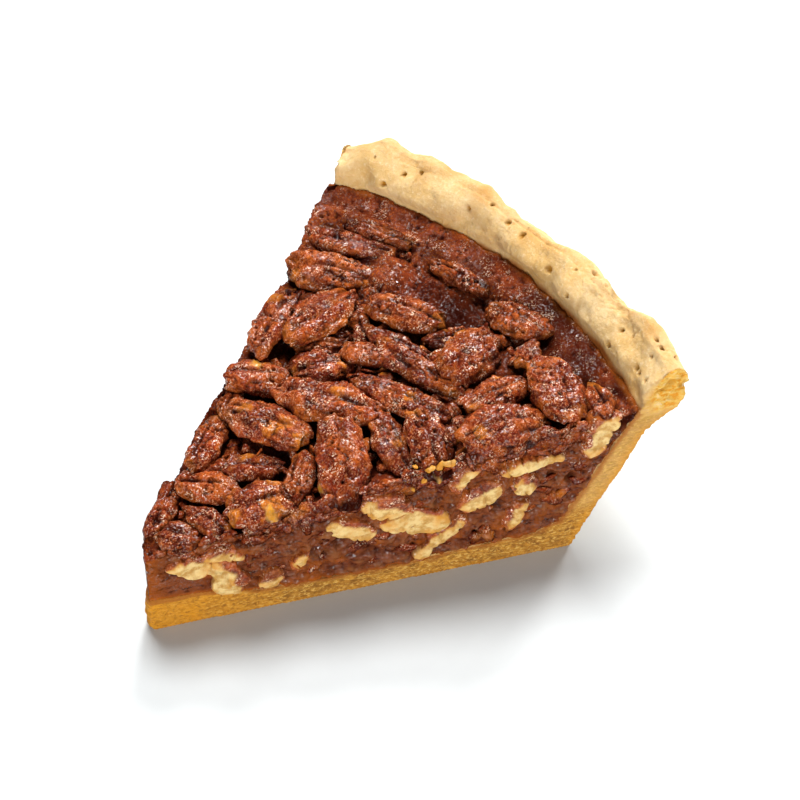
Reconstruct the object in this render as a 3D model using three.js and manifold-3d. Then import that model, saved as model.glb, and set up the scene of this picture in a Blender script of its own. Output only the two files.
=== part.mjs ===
// A slice of pecan pie, cut from a deep 9-inch pie: a pastry shell, a set syrup filling that has
// sunk a little towards the middle of the pie, and pecan halves and broken pieces on and in it.
// Millimetres, +Z up. While it is modelled, the pie's centre is at x = 0, y = 0 and the slice runs
// along +X. At the end the slice is moved, so that its box stands centred on the origin.
import * as THREE from 'three';
import { mergeVertices } from 'three/addons/utils/BufferGeometryUtils.js';
import Module from 'manifold-3d';

const wasm = await Module();
wasm.setup();

// ---------------------------------------------------------------- driving dimensions

const HALF_ANGLE = THREE.MathUtils.degToRad(27.3); // the front cut lies at minus this angle
const BLUNT_TIP = new THREE.Vector2(2.6, 4.2); // where the blunted tip meets the back cut
const BASE_RADIUS = 94.5; // outside of the shell, where it meets the table
const BASE_THICKNESS = 6; // pastry under the filling, halfway out
const FILLING_RADIUS = 104.9; // where the filling's top meets the shell
const FILLING_TIP_HEIGHT = 23; // top of the filling at the pie's middle
const FILLING_RIM_HEIGHT = 41.5; // top of the filling at the shell
const FILLING_BOWL_POWER = 0.9; // how the top climbs from the middle to the shell
const RIM_TOP = 51.5; // the rim's usual height, which the dips and humps vary
const LIP_RADIUS = 115;
const NUT_OVERHANG = 1.4; // how far the nuts on top stick out past the front cut
const ROOM_TOP = 70; // above every nut
const GAP = 0.3; // between two pieces that touch

// How far the rim's top rises above RIM_TOP, at even steps from the front cut to the back cut.
const RIM_RISES = [2.0, 1.7, -0.8, -0.5, -1.6, -0.6, 0.3, 0.6, -0.6];

// [distance from the tip, how far the torn filling bulges past the straight back cut]
const BACK_BULGES = [[0, 0], [12, 1.2], [32, 1.6], [54, 0.6], [72, -0.8], [88, 0.7], [98, 1.8], [108, 1.1]];

const TURN_SEGMENTS = 132; // facets of a full turn of the pie

const COLOURS = {
  pastry: 0xdcb878,
  filling: 0x5a2a18,
  nut: 0x7a3a20,
  cutNut: 0xd9c08a,
};

// ---------------------------------------------------------------- solids

// A geometry as a manifold-3d solid.
function solid(geometry) {
  const bare = geometry.clone();
  bare.deleteAttribute('normal');
  bare.deleteAttribute('uv');
  const merged = mergeVertices(bare, 1e-4);
  return new wasm.Manifold(new wasm.Mesh({
    numProp: 3,
    vertProperties: merged.attributes.position.array,
    triVerts: new Uint32Array(merged.index.array),
  }));
}

// The largest body of a solid, as a cut can leave loose scraps.
function largestBody(made) {
  const bodies = made.decompose();
  return bodies.reduce((best, body) => (body.volume() > best.volume() ? body : best));
}

function geometryOf(made) {
  const cut = made.getMesh();
  const geometry = new THREE.BufferGeometry();
  geometry.setAttribute('position', new THREE.BufferAttribute(cut.vertProperties, 3));
  geometry.setIndex(new THREE.BufferAttribute(cut.triVerts, 1));
  return geometry;
}

function namedMesh(name, made, colour, roughness) {
  const geometry = geometryOf(largestBody(made));
  geometry.computeVertexNormals();
  const material = new THREE.MeshStandardMaterial({ color: colour, roughness, metalness: 0 });
  const mesh = new THREE.Mesh(geometry, material);
  mesh.name = name;
  return mesh;
}

// A profile of [radius, height] points turned about the pie's middle. shape may move each point.
function turned(profile, shape = (point) => point) {
  const points = profile.map(([radius, height]) => new THREE.Vector2(radius, height));
  const geometry = new THREE.LatheGeometry(points, TURN_SEGMENTS);
  geometry.rotateX(Math.PI / 2);
  const position = geometry.attributes.position;
  const point = new THREE.Vector3();
  for (let i = 0; i < position.count; i += 1) {
    shape(point.fromBufferAttribute(position, i));
    position.setXYZ(i, point.x, point.y, point.z);
  }
  return solid(geometry);
}

// ---------------------------------------------------------------- the knife's wedge

const FRONT_CUT = new THREE.Vector2(Math.cos(HALF_ANGLE), -Math.sin(HALF_ANGLE));
const BACK_CORNER = new THREE.Vector2(Math.cos(HALF_ANGLE), Math.sin(HALF_ANGLE))
  .multiplyScalar(FILLING_RADIUS);
const BACK_CUT = BACK_CORNER.clone().sub(BLUNT_TIP).normalize();
const REACH = 150; // from the tip to past the lip

// The point at this distance along a cut that starts at corner, and this far outside of it.
function besideCut(corner, direction, along, outside) {
  return new THREE.Vector2(
    corner.x + direction.x * along - direction.y * outside,
    corner.y + direction.y * along + direction.x * outside,
  );
}

function wedge(overhang, bulges) {
  const start = besideCut(new THREE.Vector2(), FRONT_CUT, 0, -overhang);
  const outer = besideCut(new THREE.Vector2(), FRONT_CUT, REACH, -overhang);
  const back = [...bulges, [REACH, 0]].map((row) => besideCut(BLUNT_TIP, BACK_CUT, ...row));
  const outline = new THREE.Shape();
  outline.moveTo(start.x, start.y);
  outline.lineTo(outer.x, outer.y);
  for (const point of back.reverse()) outline.lineTo(point.x, point.y);
  outline.quadraticCurveTo(start.x - 0.4, 2.4, start.x, start.y);
  const geometry = new THREE.ExtrudeGeometry(outline, {
    depth: ROOM_TOP + 20,
    bevelEnabled: false,
    curveSegments: 4,
  });
  geometry.translate(0, 0, -10);
  return solid(geometry);
}

// ---------------------------------------------------------------- the pastry shell

// The inside of the shell, from the middle of its floor up to where the filling meets it.
const INSIDE = [
  [0, BASE_THICKNESS + 4.6],
  [12, BASE_THICKNESS + 3.8],
  [24, BASE_THICKNESS + 0.6],
  [55, BASE_THICKNESS],
  [85, BASE_THICKNESS + 1.2],
  [90.6, BASE_THICKNESS + 3.6],
  [95.6, 20],
  [100.2, 31],
  [103.2, 38],
  [FILLING_RADIUS + GAP, FILLING_RIM_HEIGHT],
];

// The rim above the filling, over its rounded top and under the lip, then down the wall outside.
const OUTSIDE = [
  [106.6, 44.4],
  [107.7, 47.6],
  [109.2, RIM_TOP - 1.0],
  [111.5, RIM_TOP],
  [113.6, RIM_TOP - 1.0],
  [LIP_RADIUS, RIM_TOP - 3.8],
  [LIP_RADIUS + 0.2, RIM_TOP - 7.6],
  [113.9, 41.0],
  [110.8, 38.8],
  [107.6, 35.4],
  [104.2, 25.0],
  [99.6, 13.5],
  [96.0, 4.0],
  [BASE_RADIUS, 0],
  [0, 0],
];

const RISE_CURVE = new THREE.CatmullRomCurve3(RIM_RISES.map((rise) => new THREE.Vector3(rise)));

// The hand-shaped rim has humps and dips, and where it is higher it also reaches further out.
function lumpyRim(point) {
  const angle = Math.atan2(point.y, point.x);
  const step = THREE.MathUtils.clamp(0.5 + angle / (2 * HALF_ANGLE), 0, 1);
  const rise = RISE_CURVE.getPoint(step).x + 0.35 * Math.sin(angle * 54);
  const share = THREE.MathUtils.smoothstep(point.z, 41, RIM_TOP - 1);
  const radius = Math.max(Math.hypot(point.x, point.y), 1);
  const reach = 1 + (share * 0.45 * rise) / radius;
  point.set(point.x * reach, point.y * reach, point.z + share * rise);
}

function pastryShell() {
  return turned([...INSIDE, ...OUTSIDE].reverse(), lumpyRim).intersect(wedge(0, [[0, 0]]));
}

// ---------------------------------------------------------------- the filling

function fillingTop(radius) {
  const share = Math.pow(radius / FILLING_RADIUS, FILLING_BOWL_POWER);
  return FILLING_TIP_HEIGHT + (FILLING_RIM_HEIGHT - FILLING_TIP_HEIGHT) * share;
}

// The inside of the shell with the gap kept off it, for the filling and the nuts.
const CLEAR_INSIDE = INSIDE.map(([radius, height], i) => {
  if (i === 0) return [0, height + GAP];
  const last = i === INSIDE.length - 1;
  return [radius - GAP, last ? height : height + GAP];
});

const CLEAR_SPACE = turned([...CLEAR_INSIDE, [FILLING_RADIUS, ROOM_TOP], [0, ROOM_TOP]]);
const ROOM = CLEAR_SPACE.intersect(wedge(0, BACK_BULGES));
const TOP_ROOM = CLEAR_SPACE.intersect(wedge(NUT_OVERHANG, BACK_BULGES));

function bareFilling() {
  const rings = 11;
  const top = [];
  for (let i = rings - 1; i >= 0; i -= 1) {
    const radius = (FILLING_RADIUS * i) / rings;
    top.push([radius, fillingTop(radius)]);
  }
  const ripple = (point) => {
    const share = THREE.MathUtils.smoothstep(point.z, BASE_THICKNESS + 6, FILLING_TIP_HEIGHT - 2);
    const inside = 1 - THREE.MathUtils.smoothstep(point.length(), 95, 108);
    point.z += share * inside * (Math.sin(point.x * 0.31) + Math.sin(point.y * 0.37 + 1.1)) * 0.4;
  };
  return turned([...CLEAR_INSIDE, ...top], ripple).intersect(ROOM);
}

// ---------------------------------------------------------------- the pecans

// A small seeded generator, so that each nut is uneven in its own way on every run.
function randomFrom(seed) {
  let state = seed * 2654435761;
  return () => {
    state = (Math.imul(state ^ (state >>> 15), 2246822519) + 374761393) >>> 0;
    return state / 4294967296;
  };
}

// A pecan half lying along X: a flatter belly below, and two lobes with a furrow between on top.
function pecanGeometry(length, width, height, seed) {
  const geometry = new THREE.SphereGeometry(1, 7, 6);
  geometry.rotateZ(Math.PI / 2);
  geometry.deleteAttribute('normal');
  geometry.deleteAttribute('uv');
  const merged = mergeVertices(geometry, 1e-4);
  const position = merged.attributes.position;
  const random = randomFrom(seed);
  const bend = (random() - 0.5) * 0.1 * length;
  for (let i = 0; i < position.count; i += 1) {
    const along = position.getX(i);
    const girth = Math.hypot(position.getY(i), position.getZ(i));
    const full = girth > 1e-4 ? Math.pow(girth, 0.72) / girth : 0;
    const across = position.getY(i) * full;
    const up = position.getZ(i) * full;
    const furrow = up > 0 && Math.abs(across) < 0.1 ? 0.8 : 1;
    const belly = up < 0 ? 0.75 : 1;
    const uneven = 0.93 + 0.14 * random();
    position.setXYZ(
      i,
      (along * length) / 2,
      ((across * width) / 2) * uneven + bend * along * along,
      ((up * height) / 2) * furrow * belly * uneven,
    );
  }
  return merged;
}

// A nut is { at: its centre, turn, pitch and roll in degrees, size: [length, width, height] }.
// turn is about +Z, pitch lifts the end that it lies towards, and roll is about its own length.
function pecan(nut, seed, grown = 0) {
  const [length, width, height] = nut.size.map((side) => side + 2 * grown);
  const geometry = pecanGeometry(length, width, height, seed);
  const toRadians = THREE.MathUtils.degToRad;
  geometry.rotateX(toRadians(nut.roll));
  geometry.rotateY(-toRadians(nut.pitch));
  geometry.rotateZ(toRadians(nut.turn));
  geometry.translate(...nut.at);
  return solid(geometry);
}

// Nuts on the pie: x, y, how far the middle lies above the filling, turn, pitch, roll, length, width.
const TOP_ROWS = [
  [84.0, 31.0, 0.4, -60, 0, 0, 23, 8],
  [74.5, 28.5, 0.8, -58, 0, 8, 21, 11.5],
  [90.6, 29.0, 0.4, -64, 0, 0, 18, 5.5],
  [94.8, 6.0, 0.8, -80, 0, 0, 17, 6.5],
  [93.6, -12.6, 1.4, -72, 0, 0, 16, 9],
  [88.6, -20.6, 1.6, 20, 0, 0, 8.5, 6],
  [85.4, -32.4, 2.0, 68, 3, 0, 19, 12],
  [89.4, -41.0, 1.6, 62, 0, 0, 10.5, 6],
  [79.4, -12.0, 2.0, 10, 0, 12, 16.5, 12],
  [78.6, 7.0, 1.6, -64, 0, 0, 18.5, 9.5],
  [80.2, -3.4, 0.6, -30, 0, 0, 9, 5],
  [71.8, 1.4, 1.4, -81, 0, 0, 20.5, 5.5],
  [76.4, -23.4, 1.4, -10, 0, 0, 15.5, 8],
  [70.2, -31.4, 2.0, -24, 0, 14, 19, 12],
  [69.6, -6.2, 1.8, -80, 0, 10, 24, 7.5],
  [65.4, 4.6, 1.6, -48, 0, 0, 12.5, 6.5],
  [70.2, 13.2, 0.8, 62, 0, 0, 7, 5],
  [60.4, 14.4, 0.8, -44, 0, 0, 12, 6],
  [64.6, 19.6, 2.4, 8, 0, -6, 21, 11],
  [56.8, 26.8, 1.6, 27, 0, 0, 23, 8],
  [62.0, -9.6, 1.8, -72, 0, 0, 24, 8],
  [58.2, -21.8, 1.2, 66, 12, 0, 18.5, 10],
  [55.0, 9.6, 1.8, -30, 0, 0, 12.5, 10],
  [53.0, -15.6, 1.4, 74, 10, 0, 19, 7.5],
  [50.6, 0.8, 2.6, -60, 0, 0, 24.5, 12],
  [44.6, 17.0, 1.8, -50, 0, 0, 15.5, 10],
  [42.6, -12.6, 2.2, 53, 20, 0, 21.5, 12],
  [36.4, 17.0, 1.0, 28, 0, 0, 9.5, 5],
  [37.8, 5.6, 2.6, -72, 0, 0, 20.5, 10.5],
  [34.2, -8.4, 1.2, 34, 10, 0, 13, 7],
  [29.6, 0.2, 1.2, -40, 0, 0, 14, 7],
  [26.0, 11.8, 1.6, 25, 0, 0, 17, 7.5],
  [23.6, -7.8, 1.9, -20, 0, 0, 13.5, 11.5],
  [23.0, 8.0, 1.2, -32, 0, 0, 9, 5.5],
  [19.6, 3.6, 1.8, -50, 0, 0, 13.5, 9],
  [14.6, -2.6, 1.4, 100, 0, 0, 10.5, 6],
  [10.0, 6.6, 1.2, 27, 0, 0, 15.5, 6.5],
  [7.8, -0.6, 1.2, -60, 0, 0, 9, 8],
];

// Nuts that a cut goes through: distance along the cut, height, depth of the middle behind it,
// slope along the cut in degrees, length and width as they show.
const FRONT_ROWS = [
  [8.6, 18.9, 1.0, -24, 8.8, 6.4],
  [15.6, 13.8, 1.2, -64, 13.5, 6.4],
  [16.2, 21.0, 1.2, -14, 8.6, 3.2],
  [26.6, 9.4, 1.0, 5, 5.4, 4.6],
  [33.2, 14.6, 1.0, 62, 7.0, 3.4],
  [43.2, 20.8, 1.2, -34, 10.5, 5.8],
  [50.6, 25.8, 1.4, -28, 11.0, 6.4],
  [57.4, 19.8, 1.2, -14, 14.5, 8.0],
  [63.4, 12.4, 1.0, 42, 13.0, 4.4],
  [72.0, 23.4, 1.2, 22, 9.5, 6.0],
  [68.2, 30.6, 1.0, 60, 7.5, 3.6],
  [82.4, 31.6, 1.2, 6, 13.0, 4.4],
  [80.8, 25.0, 1.4, -50, 7.0, 5.4],
  [80.8, 15.8, 1.0, 68, 8.2, 3.4],
  [97.4, 37.4, 1.4, 72, 13.0, 5.4],
];

const BACK_ROWS = [
  [18.0, 17.0, 1.2, 20, 10.0, 5.4],
  [36.0, 16.0, 1.0, -30, 12.5, 5.2],
  [52.0, 23.0, 1.2, 12, 12.0, 5.0],
  [66.0, 15.4, 1.0, 48, 9.5, 4.2],
  [80.0, 27.0, 1.2, -18, 13.0, 5.6],
];

const THICKNESS = 0.56; // of a nut, as a share of its width

function topNuts() {
  return TOP_ROWS.map(([x, y, above, turn, pitch, roll, length, width], i) => ({
    name: `pecan_top_${String(i + 1).padStart(2, '0')}`,
    at: [x, y, fillingTop(Math.hypot(x, y)) + above],
    turn,
    pitch,
    roll,
    size: [length, width, width * THICKNESS],
    colour: COLOURS.nut,
    room: TOP_ROOM,
  }));
}

function bulgeAt(along) {
  const next = BACK_BULGES.findIndex(([distance]) => distance > along);
  const [from, low] = BACK_BULGES[next - 1];
  const [to, high] = BACK_BULGES[next];
  return THREE.MathUtils.mapLinear(along, from, to, low, high);
}

// The nuts along one cut, which starts at corner and runs along direction. outside gives how far
// left of that line a nut's middle lies, from its distance along the cut and its depth.
function cutNuts(rows, prefix, corner, direction, outside) {
  const heading = THREE.MathUtils.radToDeg(direction.angle());
  return rows.map(([along, height, depth, slope, length, width], i) => {
    const middle = besideCut(corner, direction, along, outside(along, depth));
    return {
      name: `${prefix}_${String(i + 1).padStart(2, '0')}`,
      at: [middle.x, middle.y, height],
      turn: heading,
      pitch: slope,
      roll: 0,
      size: [length, width * 1.4, width],
      colour: COLOURS.cutNut,
      room: ROOM,
    };
  });
}

const NUTS = [
  ...topNuts(),
  ...cutNuts(FRONT_ROWS, 'pecan_front', new THREE.Vector2(), FRONT_CUT, (along, depth) => depth),
  ...cutNuts(BACK_ROWS, 'pecan_back', BLUNT_TIP, BACK_CUT, (along, depth) => bulgeAt(along) - depth),
];

// The nuts that lie highest keep their whole shape, and each one below gives way to them.
function settledNuts(nuts) {
  const order = nuts.map((nut, i) => ({ nut, seed: i + 1 }));
  order.sort((a, b) => b.nut.at[2] - a.nut.at[2]);
  const settled = [];
  for (const { nut, seed } of order) {
    const reach = nut.size[0] / 2 + GAP;
    const middle = new THREE.Vector3(...nut.at);
    let shape = pecan(nut, seed).intersect(nut.room);
    for (const above of settled) {
      if (middle.distanceTo(above.middle) < reach + above.reach) shape = shape.subtract(above.socket);
    }
    if (!shape.isEmpty()) {
      settled.push({ nut, shape: largestBody(shape), socket: pecan(nut, seed, GAP), middle, reach });
    }
  }
  return settled;
}

// ---------------------------------------------------------------- the slice

const slice = new THREE.Group();
const settled = settledNuts(NUTS);
const filling = settled.reduce((rest, { socket }) => rest.subtract(socket), bareFilling());

slice.add(namedMesh('pastry_shell', pastryShell(), COLOURS.pastry, 0.85));
slice.add(namedMesh('syrup_filling', largestBody(filling), COLOURS.filling, 0.35));
for (const { nut, shape } of settled) slice.add(namedMesh(nut.name, shape, nut.colour, 0.5));

const box = new THREE.Box3().setFromObject(slice);
slice.position.set(-(box.min.x + box.max.x) / 2, -(box.min.y + box.max.y) / 2, -box.min.z);

const pie = new THREE.Group();
pie.add(slice);

export default pie;
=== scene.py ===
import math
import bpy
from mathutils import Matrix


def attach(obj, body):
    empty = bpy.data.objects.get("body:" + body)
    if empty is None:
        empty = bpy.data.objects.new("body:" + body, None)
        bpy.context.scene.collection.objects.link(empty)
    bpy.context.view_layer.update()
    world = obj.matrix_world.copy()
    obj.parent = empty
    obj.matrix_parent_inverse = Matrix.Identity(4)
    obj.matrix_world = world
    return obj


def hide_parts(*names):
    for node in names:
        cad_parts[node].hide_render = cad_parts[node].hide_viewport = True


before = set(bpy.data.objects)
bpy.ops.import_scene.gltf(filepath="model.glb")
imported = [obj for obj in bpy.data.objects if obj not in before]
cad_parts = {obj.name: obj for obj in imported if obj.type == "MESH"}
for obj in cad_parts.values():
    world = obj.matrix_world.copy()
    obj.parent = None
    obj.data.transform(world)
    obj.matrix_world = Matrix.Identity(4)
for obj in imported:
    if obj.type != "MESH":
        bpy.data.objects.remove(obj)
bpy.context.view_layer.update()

# A slice of pecan pie: a short pastry crust, a set syrup filling cut with a knife, and glazed
# pecan halves on and in it. Shapes are worked out in millimetres about the middle of the whole
# pie, with the slice along +X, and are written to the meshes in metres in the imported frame.

from types import SimpleNamespace

import bpy
import numpy as np
from mathutils import Quaternion, Vector

# -------- sizes, in millimetres

MM = 0.001
PIE_MIDDLE = np.array([-57.52, 0.227, 0.0])  # the middle of the whole pie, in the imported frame
HALF_ANGLE = math.radians(27.3)  # half of the angle between the two cuts
BLUNT_TIP = np.array([2.6, 4.2])  # where the blunted tip meets the back cut
FILLING_RADIUS = 104.9
TIP_HEIGHT = 23.0  # top of the filling at the pie's middle
RIM_HEIGHT = 41.5  # top of the filling at the crust
BOWL_POWER = 0.9  # how straight the top rises from one to the other
# The inside of the crust: how high its floor and wall stand at each radius.
WALL_RADII = [0, 12, 24, 55, 85, 90.6, 95.6, 100.2, 103.2, 105.2]
WALL_HEIGHTS = [10.6, 9.8, 6.6, 6, 7.2, 9.6, 20, 31, 38, 41.5]
WALL_FOOT = 5  # the first of these rows that is the wall and not the floor
# The outside of the crust: how far out it stands at each height. It is open above the rim.
OUTER_HEIGHTS = [4, 13.5, 25, 35.4, 41, 60]
OUTER_RADII = [96, 99.6, 104.2, 107.6, 113.9, 200]
# How far the torn filling bulges past the straight back cut, by the distance from the tip.
BULGE_ALONG = [0, 12, 32, 54, 72, 88, 98, 108]
BULGE_OUT = [0, 1.2, 1.6, 0.6, -0.8, 0.7, 1.8, 1.1]

# Where the photo shows broken nut through the glaze: x, y and radius.
ORANGE_SPOTS = [
    (24.8, -10.9, 3.4), (17.5, -7.1, 2.2), (66.4, 32.2, 3.0), (61.2, 31.0, 2.2), (59.2, 6.5, 1.8),
    (36.6, 3.2, 2.0), (39.8, 2.0, 1.8), (83.0, -1.0, 2.6), (62.8, -11.2, 1.6), (64.8, -30.2, 2.2),
    (92.0, -37.6, 2.0), (81.7, -6.7, 1.8), (36.2, 11.5, 2.2), (39.8, -2.5, 1.8), (53.5, -17.8, 1.6),
    (52.5, -0.2, 1.8), (29.4, 3.4, 1.7), (46.4, 19.1, 2.2), (28.9, -6.3, 1.6)]
YELLOW_SPOTS = [
    (45.9, 19.4, 1.3), (23.6, -12.0, 1.5), (53.0, -30.0, 1.6), (66.8, 32.6, 1.0), (34.8, -13.7, 1.2)]
# Loose crumbs by the front edge: how far along the front cut, how far outside it, and how high.
PALE_CRUMBS = [
    (62.2, -0.2, 36.4), (60.1, -0.2, 36.0), (63.6, -0.3, 36.6), (64.9, -0.4, 36.2), (57.4, -1.9, 35.6),
    (58.8, 0.2, 33.2), (56.4, 0.2, 31.2), (61.0, -0.6, 34.9), (55.0, -0.4, 33.8)]

# How wide the faces of each piece are. The solid nuts are first rounded off with a coarser mesh.
ROUNDING_VOXEL = 0.7
NUT_VOXEL = 0.27
CUT_NUT_VOXEL = 0.25
FILLING_VOXEL = 0.42
CRUST_VOXEL = 0.42
HIDDEN_RATIO = 0.62  # the share of its faces that a piece keeps, as those that don't show go

GAP_BITS = 170  # broken bits between the nuts on top
FACE_BITS = 70  # bits all over the front cut
EDGE_BITS = 170  # and along its upper edge

# The directions along each cut from the tip, and out of it.
FRONT_CUT = np.array([math.cos(HALF_ANGLE), -math.sin(HALF_ANGLE)])
FRONT_OUT = np.array([-math.sin(HALF_ANGLE), -math.cos(HALF_ANGLE), 0.0])
BACK_CORNER = FILLING_RADIUS * np.array([math.cos(HALF_ANGLE), math.sin(HALF_ANGLE)])
BACK_CUT = (BACK_CORNER - BLUNT_TIP) / np.linalg.norm(BACK_CORNER - BLUNT_TIP)
BACK_OUT = np.array([-BACK_CUT[1], BACK_CUT[0], 0.0])

# -------- noise

FIRST_CELL = 200.0  # keeps every cell's numbers above zero


def lattice(cells, seed):
    """A number from 0 to 1 for each whole-numbered cell, mixed from its place and the seed."""
    mixed = cells[..., 0] * 73856093 ^ cells[..., 1] * 19349663 ^ cells[..., 2] * 83492791
    mixed = (mixed ^ seed * 668265263) & 0x7FFFFFFF
    mixed = (mixed ^ mixed >> 15) * 1274126177 & 0x7FFFFFFF
    mixed = (mixed ^ mixed >> 13) * 1103515245 & 0x7FFFFFFF
    return (mixed >> 7 & 0xFFFFFF) / float(0x1000000)


def noise(points, size, seed):
    """Smooth noise from -1 to 1, with lumps of about this size."""
    scaled = points / size + FIRST_CELL
    cell = np.floor(scaled).astype(np.int64)
    part = scaled - cell
    part = part * part * (3 - 2 * part)
    total = np.zeros(len(points))
    for corner in np.ndindex(2, 2, 2):
        weight = np.prod(np.where(corner, part, 1 - part), axis=1)
        total += weight * lattice(cell + np.array(corner), seed)
    return 2 * total - 1


def rough(points, size, seed, octaves=3):
    """Noise of several sizes, each half of the last."""
    total = sum(noise(points, size / 2**i, seed + i) / 2**i for i in range(octaves))
    return total / (2 - 2 ** (1 - octaves))


def scatter(points, size, seed):
    """The distance to the nearest of many scattered spots, in sizes, and that spot's own number."""
    scaled = points / size + FIRST_CELL
    cell = np.floor(scaled).astype(np.int64)
    nearest = np.full(len(points), np.inf)
    own = np.zeros(len(points))
    for offset in np.ndindex(3, 3, 3):
        near = cell + np.array(offset) - 1
        spot = near + np.stack([lattice(near, seed + axis) for axis in (1, 2, 3)], axis=1)
        distance = np.linalg.norm(spot - scaled, axis=1)
        closer = distance < nearest
        nearest = np.where(closer, distance, nearest)
        own = np.where(closer, lattice(near, seed + 4), own)
    return nearest, own


def pits(points, size, share, radius, seed):
    """From 0 to 1 in round pits of this radius, in a share of the places that lie size apart."""
    nearest, own = scatter(points, size, seed)
    inside = np.clip(1 - (nearest * size / radius) ** 2, 0, 1)
    return inside * (own < share)


def step(low, high, value):
    """From 0 at low to 1 at high, smoothly."""
    share = np.clip((value - low) / (high - low), 0, 1)
    return share * share * (3 - 2 * share)


def lines(values, width):
    """From 0 to 1 along thin lines, where the values pass through zero."""
    return np.clip(1 - np.abs(values) / width, 0, 1)


def ridges(values):
    """From -1 to 1, with sharp ridges where the values pass through zero."""
    return 1 - 2 * np.abs(values)


# -------- meshes


SMOOTH_IN = 0.55  # the share of the way to its neighbours' middle that a point is pulled
SMOOTH_OUT = -0.57  # and is then pushed back, so that the volume stays


class Form:
    """A closed mesh as arrays: points in millimetres about the pie's middle, its faces, and its paint."""

    def __init__(self, points, faces):
        self.points = np.asarray(points, float)
        self.faces = faces
        self.paint = {}

    @classmethod
    def of(cls, mesh, scale=1.0):
        """A mesh's points, times the scale, and its faces."""
        points = np.zeros(len(mesh.vertices) * 3)
        mesh.vertices.foreach_get("co", points)
        faces = [tuple(face.vertices) for face in mesh.polygons]
        return cls(points.reshape(-1, 3) * scale, faces)

    @classmethod
    def of_node(cls, name):
        form = cls.of(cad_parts[name].data, 1 / MM)
        form.points -= PIE_MIDDLE
        return form

    def mesh(self, name, scale=1.0):
        made = bpy.data.meshes.new(name)
        made.from_pydata((self.points * scale).tolist(), [], self.faces)
        made.update()
        return made

    def normals(self):
        made = self.mesh("normals")
        found = np.zeros(len(self.points) * 3)
        made.vertices.foreach_get("normal", found)
        bpy.data.meshes.remove(made)
        return found.reshape(-1, 3)

    def remeshed(self, voxel):
        """The same shape in even square faces, about one voxel wide."""

        def setting(modifier):
            modifier.mode = "VOXEL"
            modifier.voxel_size = voxel

        return self.modified("REMESH", setting)

    def thinned(self, hidden):
        """Fewer faces, taken where the form is hidden."""

        def setting(modifier):
            modifier.ratio = HIDDEN_RATIO
            modifier.vertex_group = "hidden"

        return self.modified("DECIMATE", setting, hidden)

    def modified(self, kind, setting, hidden=None):
        mesh = self.mesh("raw")
        raw = added("raw", mesh)
        if hidden is not None:
            group = raw.vertex_groups.new(name="hidden")
            for level in (0.0, 1.0):
                group.add(np.flatnonzero(hidden == level).tolist(), level, "REPLACE")
        setting(raw.modifiers.new("change", kind))
        graph = bpy.context.evaluated_depsgraph_get()
        changed = bpy.data.meshes.new_from_object(raw.evaluated_get(graph))
        form = Form.of(changed)
        bpy.data.objects.remove(raw)
        bpy.data.meshes.remove(changed)
        bpy.data.meshes.remove(mesh)
        return form

    def smooth(self, rounds):
        """Rounds off the facets, and keeps the volume."""
        edges = np.array([pair for face in self.faces for pair in zip(face, face[1:] + face[:1])])
        count = len(self.points)
        degree = np.bincount(edges[:, 0], minlength=count) + np.bincount(edges[:, 1], minlength=count)
        for turn in range(2 * rounds):
            mean = np.zeros_like(self.points)
            for axis in range(3):
                mean[:, axis] = np.bincount(edges[:, 0], self.points[edges[:, 1], axis], count)
                mean[:, axis] += np.bincount(edges[:, 1], self.points[edges[:, 0], axis], count)
            pull = SMOOTH_IN if turn % 2 == 0 else SMOOTH_OUT
            self.points += pull * (mean / degree[:, None] - self.points)


def added(name, data):
    made = bpy.data.objects.new(name, data)
    bpy.context.scene.collection.objects.link(made)
    return made


def placed(form, name, material, nodes=()):
    """Makes the form a piece of the scene under the root, and hides these CAD nodes."""
    form.points += PIE_MIDDLE
    mesh = form.mesh(name, MM)
    mesh.shade_smooth()
    for label, values in form.paint.items():
        layer = mesh.attributes.new(label, "FLOAT", "POINT")
        layer.data.foreach_set("value", np.asarray(values, np.float32))
    mesh.materials.append(material)
    piece = added(name, mesh)
    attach(piece, "root")
    if nodes:
        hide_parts(*nodes)


# -------- materials


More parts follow.
